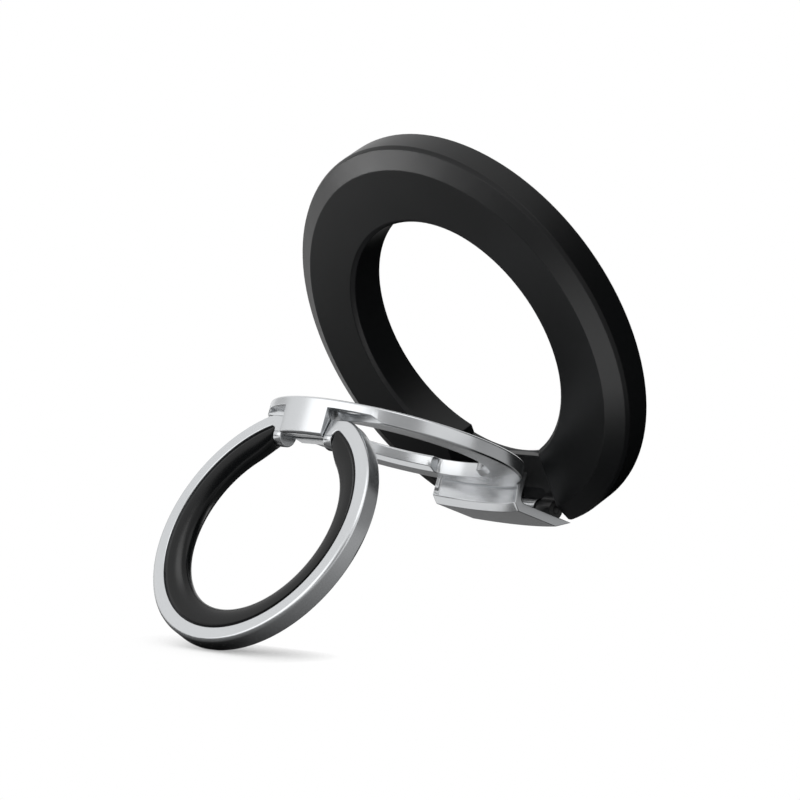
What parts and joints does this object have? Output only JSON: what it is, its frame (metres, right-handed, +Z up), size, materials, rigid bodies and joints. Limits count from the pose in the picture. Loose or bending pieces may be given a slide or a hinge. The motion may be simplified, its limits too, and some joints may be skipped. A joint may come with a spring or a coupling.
{
  "type": "folding magnetic phone ring holder",
  "caption": "Magnetic phone ring holder: a black base ring with a hinged metal arm ring and a hinged, soft-lined finger ring, folding flat and opening as grip or stand.",
  "frame": {"origin": "centre of the contact face of the base ring, the face that sits on the back of a phone", "axes": "+Z up as it stands in use, X along both hinge pins, +Y towards the phone; the base ring leans 25.84 degrees, so its contact face looks along +Y and a little up"},
  "size_m": [0.0574, 0.0621, 0.0656],
  "materials": {
    "black_plastic": "fine matt moulding",
    "black_silicone": "smooth soft silicone",
    "shunt_steel": "cold rolled sheet",
    "plated_magnet": "nickel plated",
    "black_steel": "black coated steel",
    "bright_steel": "ground steel",
    "spring_steel": "rolled spring steel",
    "satin_metal": "satin plated die casting",
    "black_liner": "satin silicone"
  },
  "bodies": {
    "base": {"base_housing": "black_plastic", "back_cover": "black_silicone", "shunt_plate": "shunt_steel", "hinge_leaf": "black_steel", "leaf_screws": "black_steel", "base_hinge_pin": "black_steel", "hinge_washers": "black_steel", "magnet_01": "plated_magnet", "magnet_02": "plated_magnet", "magnet_03": "plated_magnet", "magnet_04": "plated_magnet", "magnet_05": "plated_magnet", "magnet_06": "plated_magnet", "magnet_07": "plated_magnet", "magnet_08": "plated_magnet", "magnet_09": "plated_magnet", "magnet_10": "plated_magnet", "magnet_11": "plated_magnet", "magnet_12": "plated_magnet", "magnet_13": "plated_magnet", "magnet_14": "plated_magnet", "magnet_15": "plated_magnet", "magnet_16": "plated_magnet"},
    "arm": {"arm_ring": "satin_metal", "base_sleeves": "spring_steel", "finger_sleeve": "spring_steel"},
    "finger": {"finger_ring": "satin_metal", "finger_liner": "black_liner", "finger_pin": "bright_steel"}
  },
  "joints": [
    {"name": "arm_hinge", "type": "hinge", "parent": "base", "child": "arm", "pos_m": [0, 0.00898, -0.0252], "axis": [1, 0, 0], "range_deg": [-41.6, 65.4]},
    {"name": "finger_hinge", "type": "hinge", "parent": "arm", "child": "finger", "pos_m": [0, -0.03045, -0.01252], "axis": [-1, 0, 0], "range_deg": [-105.3, 29.7]}
  ]
}
